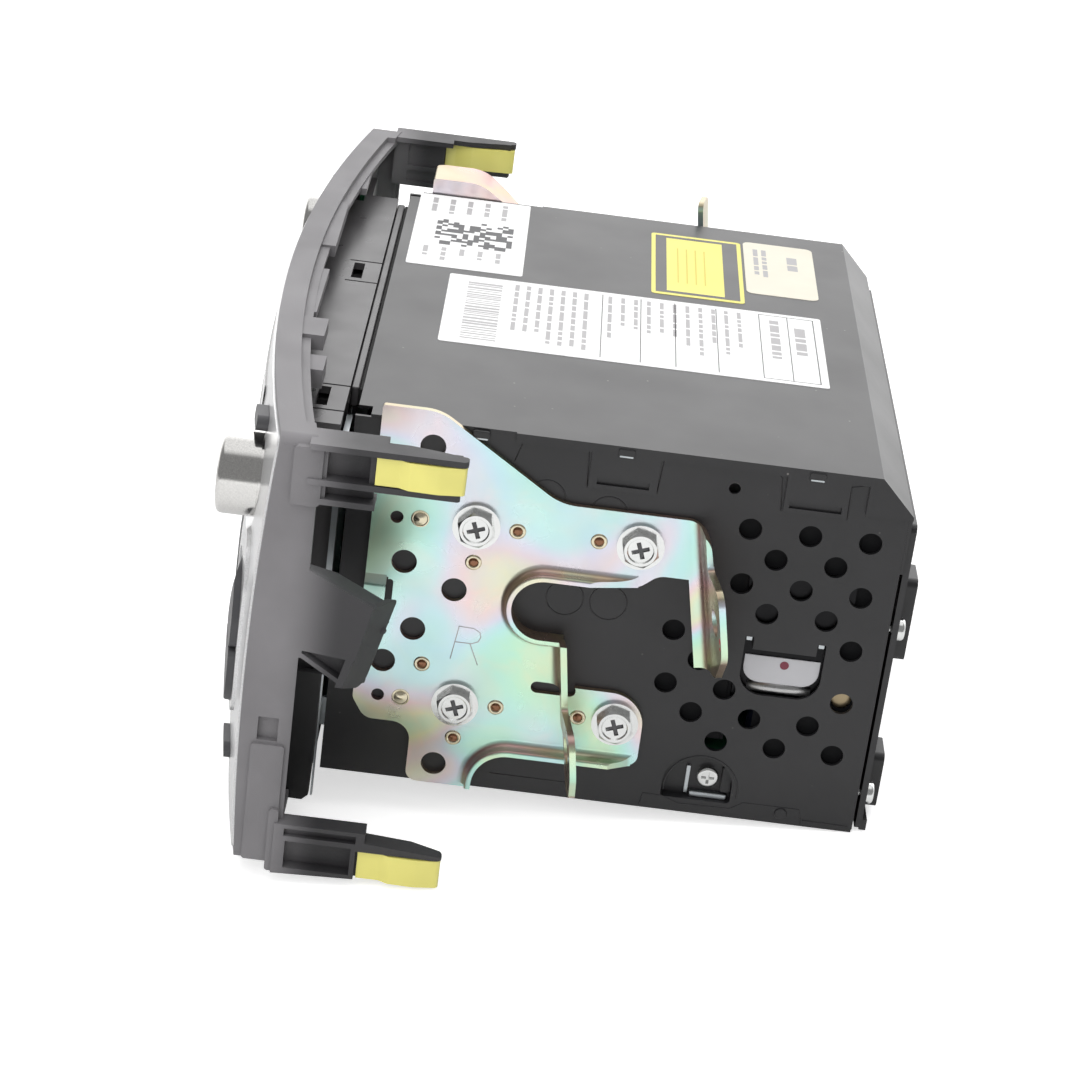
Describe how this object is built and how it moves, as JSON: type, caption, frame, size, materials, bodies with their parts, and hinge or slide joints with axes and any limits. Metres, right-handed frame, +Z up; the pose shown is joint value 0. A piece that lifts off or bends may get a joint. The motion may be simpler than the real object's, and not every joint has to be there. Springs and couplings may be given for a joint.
{
  "type": "car disc player",
  "caption": "Dashboard car disc player: perforated black case, iridescent side brackets, bowed trim frame with spring clips, knobs, keys and a slot-loading deck.",
  "frame": {"origin": "centre of the line joining the two upper flange holes, on the flanges' front faces", "axes": "+X to the unit's right seen from the driver's seat, +Y from the front panel to the back, +Z up"},
  "size_m": [0.2578, 0.1796, 0.1164],
  "materials": {
    "black_case": "satin black enamel on steel",
    "bright_steel": "plain zinc plated, fine grain",
    "zinc_iridescent": "yellow chromate over zinc, iridescent green, yellow and pink",
    "screw_zinc": "bright zinc plated, semi gloss",
    "trim_grey": "fine grained anthracite",
    "black_plastic": "moulded, matt",
    "silver_face": "silver paint with a satin clear coat",
    "dark_lens": "smoked and polished",
    "display": "smooth",
    "board_green": "solder mask with a soft sheen",
    "clip_yellow": "lemon yellow lacquer on spring steel, semi gloss",
    "knob_silver": "silver paint, satin",
    "button_dark": "charcoal, satin",
    "sink_aluminium": "as cast",
    "chip_black": "moulded epoxy",
    "can_black": "shrunk sleeve",
    "deck_steel": "plain zinc plated",
    "rubber_black": "soft, matt",
    "gear_white": "natural acetal",
    "motor_steel": "drawn can",
    "pin_tin": "tinned brass",
    "rod_steel": "ground and polished"
  },
  "bodies": {
    "unit": {"chassis": "black_case", "top_cover": "black_case", "rear_panel": "black_case", "heat_sink": "sink_aluminium", "connector_block": "black_plastic", "connector_pins": "pin_tin", "antenna_socket": "bright_steel", "front_plate": "bright_steel", "nose_housing": "black_plastic", "right_bracket": "zinc_iridescent", "left_bracket": "zinc_iridescent", "bracket_screws": "screw_zinc", "case_screws": "screw_zinc", "fascia_frame": "trim_grey", "silver_panel": "silver_face", "display_lens": "dark_lens", "lcd_module": "display", "front_board": "board_green", "fascia_clips": "clip_yellow", "volume_encoder": "bright_steel", "tune_encoder": "bright_steel", "main_board": "board_green", "amplifier_chip": "chip_black", "capacitors": "can_black", "tuner_module": "bright_steel", "deck_frame": "deck_steel", "deck_carrier": "deck_steel", "damper_bushes": "rubber_black", "spindle_motor": "motor_steel", "guide_rods": "rod_steel", "sled_motor": "motor_steel", "loading_motor": "motor_steel"},
    "turntable": {"turntable": "black_plastic"},
    "clamp_arm": {"clamp_arm": "deck_steel"},
    "clamp_disc": {"clamp_disc": "black_plastic"},
    "pickup_sled": {"pickup_sled": "black_plastic"},
    "lead_screw": {"lead_screw": "rod_steel"},
    "loading_roller": {"loading_roller": "rubber_black", "roller_gear": "gear_white"},
    "idler_gear": {"idler_gear": "gear_white"},
    "motor_pinion": {"motor_pinion": "gear_white"},
    "volume_shaft": {"volume_shaft": "black_plastic"},
    "tune_shaft": {"tune_shaft": "black_plastic"},
    "volume_knob": {"volume_knob": "knob_silver"},
    "tune_knob": {"tune_knob": "knob_silver"},
    "preset_1": {"preset_1": "button_dark"},
    "preset_2": {"preset_2": "button_dark"},
    "preset_3": {"preset_3": "button_dark"},
    "preset_4": {"preset_4": "button_dark"},
    "preset_5": {"preset_5": "button_dark"},
    "preset_6": {"preset_6": "button_dark"},
    "seek_up": {"seek_up": "button_dark"},
    "seek_down": {"seek_down": "button_dark"},
    "folder_up": {"folder_up": "button_dark"},
    "folder_down": {"folder_down": "button_dark"},
    "eject_button": {"eject_button": "button_dark"},
    "clock_button": {"clock_button": "button_dark"},
    "disc_button": {"disc_button": "button_dark"},
    "radio_button": {"radio_button": "button_dark"}
  },
  "joints": [
    {"name": "turntable_spin", "type": "hinge", "parent": "unit", "child": "turntable", "pos_m": [0, -0.0216, 0.024], "axis": [0, 0, 1], "continuous": true},
    {"name": "clamp_arm_lower", "type": "hinge", "parent": "unit", "child": "clamp_arm", "pos_m": [0, 0.0224, 0.0314], "axis": [1, 0, 0], "range_deg": [0, 3]},
    {"name": "clamp_disc_spin", "type": "hinge", "parent": "clamp_arm", "child": "clamp_disc", "pos_m": [0, -0.0216, 0.031], "axis": [0, 0, 1], "continuous": true},
    {"name": "pickup_travel", "type": "slide", "parent": "unit", "child": "pickup_sled", "axis": [1, 0, 0], "range_m": [0, 0.034]},
    {"name": "lead_screw_spin", "type": "hinge", "parent": "unit", "child": "lead_screw", "pos_m": [0.04, -0.0466, 0.0196], "axis": [1, 0, 0], "range_deg": [0, 4085]},
    {"name": "roller_spin", "type": "hinge", "parent": "unit", "child": "loading_roller", "pos_m": [0, -0.0856, 0.0217], "axis": [1, 0, 0], "continuous": true},
    {"name": "idler_spin", "type": "hinge", "parent": "unit", "child": "idler_gear", "pos_m": [0.0792, -0.07236, 0.01466], "axis": [1, 0, 0], "continuous": true},
    {"name": "pinion_spin", "type": "hinge", "parent": "unit", "child": "motor_pinion", "pos_m": [0.0792, -0.0594, 0.01353], "axis": [1, 0, 0], "continuous": true},
    {"name": "volume_push", "type": "slide", "parent": "unit", "child": "volume_shaft", "axis": [0, 1, 0], "range_m": [0, 0.0005], "stiffness_N_per_m": 2000},
    {"name": "volume_turn", "type": "hinge", "parent": "volume_shaft", "child": "volume_knob", "pos_m": [-0.095, -0.1216, 0.0214], "axis": [0, 1, 0], "continuous": true},
    {"name": "tune_push", "type": "slide", "parent": "unit", "child": "tune_shaft", "axis": [0, 1, 0], "range_m": [0, 0.0005], "stiffness_N_per_m": 2000},
    {"name": "tune_turn", "type": "hinge", "parent": "tune_shaft", "child": "tune_knob", "pos_m": [0.095, -0.1216, 0.0214], "axis": [0, 1, 0], "continuous": true},
    {"name": "preset_1_press", "type": "slide", "parent": "unit", "child": "preset_1", "axis": [0, 1, 0], "range_m": [0, 0.0007], "stiffness_N_per_m": 900},
    {"name": "preset_2_press", "type": "slide", "parent": "unit", "child": "preset_2", "axis": [0, 1, 0], "range_m": [0, 0.0007], "stiffness_N_per_m": 900},
    {"name": "preset_3_press", "type": "slide", "parent": "unit", "child": "preset_3", "axis": [0, 1, 0], "range_m": [0, 0.0007], "stiffness_N_per_m": 900},
    {"name": "preset_4_press", "type": "slide", "parent": "unit", "child": "preset_4", "axis": [0, 1, 0], "range_m": [0, 0.0007], "stiffness_N_per_m": 900},
    {"name": "preset_5_press", "type": "slide", "parent": "unit", "child": "preset_5", "axis": [0, 1, 0], "range_m": [0, 0.0007], "stiffness_N_per_m": 900},
    {"name": "preset_6_press", "type": "slide", "parent": "unit", "child": "preset_6", "axis": [0, 1, 0], "range_m": [0, 0.0007], "stiffness_N_per_m": 900},
    {"name": "seek_up_press", "type": "slide", "parent": "unit", "child": "seek_up", "axis": [0, 1, 0], "range_m": [0, 0.0007], "stiffness_N_per_m": 900},
    {"name": "seek_down_press", "type": "slide", "parent": "unit", "child": "seek_down", "axis": [0, 1, 0], "range_m": [0, 0.0007], "stiffness_N_per_m": 900},
    {"name": "folder_up_press", "type": "slide", "parent": "unit", "child": "folder_up", "axis": [0, 1, 0], "range_m": [0, 0.0007], "stiffness_N_per_m": 900},
    {"name": "folder_down_press", "type": "slide", "parent": "unit", "child": "folder_down", "axis": [0, 1, 0], "range_m": [0, 0.0007], "stiffness_N_per_m": 900},
    {"name": "eject_button_press", "type": "slide", "parent": "unit", "child": "eject_button", "axis": [0, 1, 0], "range_m": [0, 0.0007], "stiffness_N_per_m": 900},
    {"name": "clock_button_press", "type": "slide", "parent": "unit", "child": "clock_button", "axis": [0, 1, 0], "range_m": [0, 0.0007], "stiffness_N_per_m": 900},
    {"name": "disc_button_press", "type": "slide", "parent": "unit", "child": "disc_button", "axis": [0, 1, 0], "range_m": [0, 0.0007], "stiffness_N_per_m": 900},
    {"name": "radio_button_press", "type": "slide", "parent": "unit", "child": "radio_button", "axis": [0, 1, 0], "range_m": [0, 0.0007], "stiffness_N_per_m": 900}
  ],
  "couplings": [
    {"joint": "lead_screw_spin", "follows": "pickup_travel", "rad_per_m": 2094.4},
    {"joint": "idler_spin", "follows": "roller_spin", "ratio": -0.66667},
    {"joint": "pinion_spin", "follows": "roller_spin", "ratio": 1.5}
  ]
}
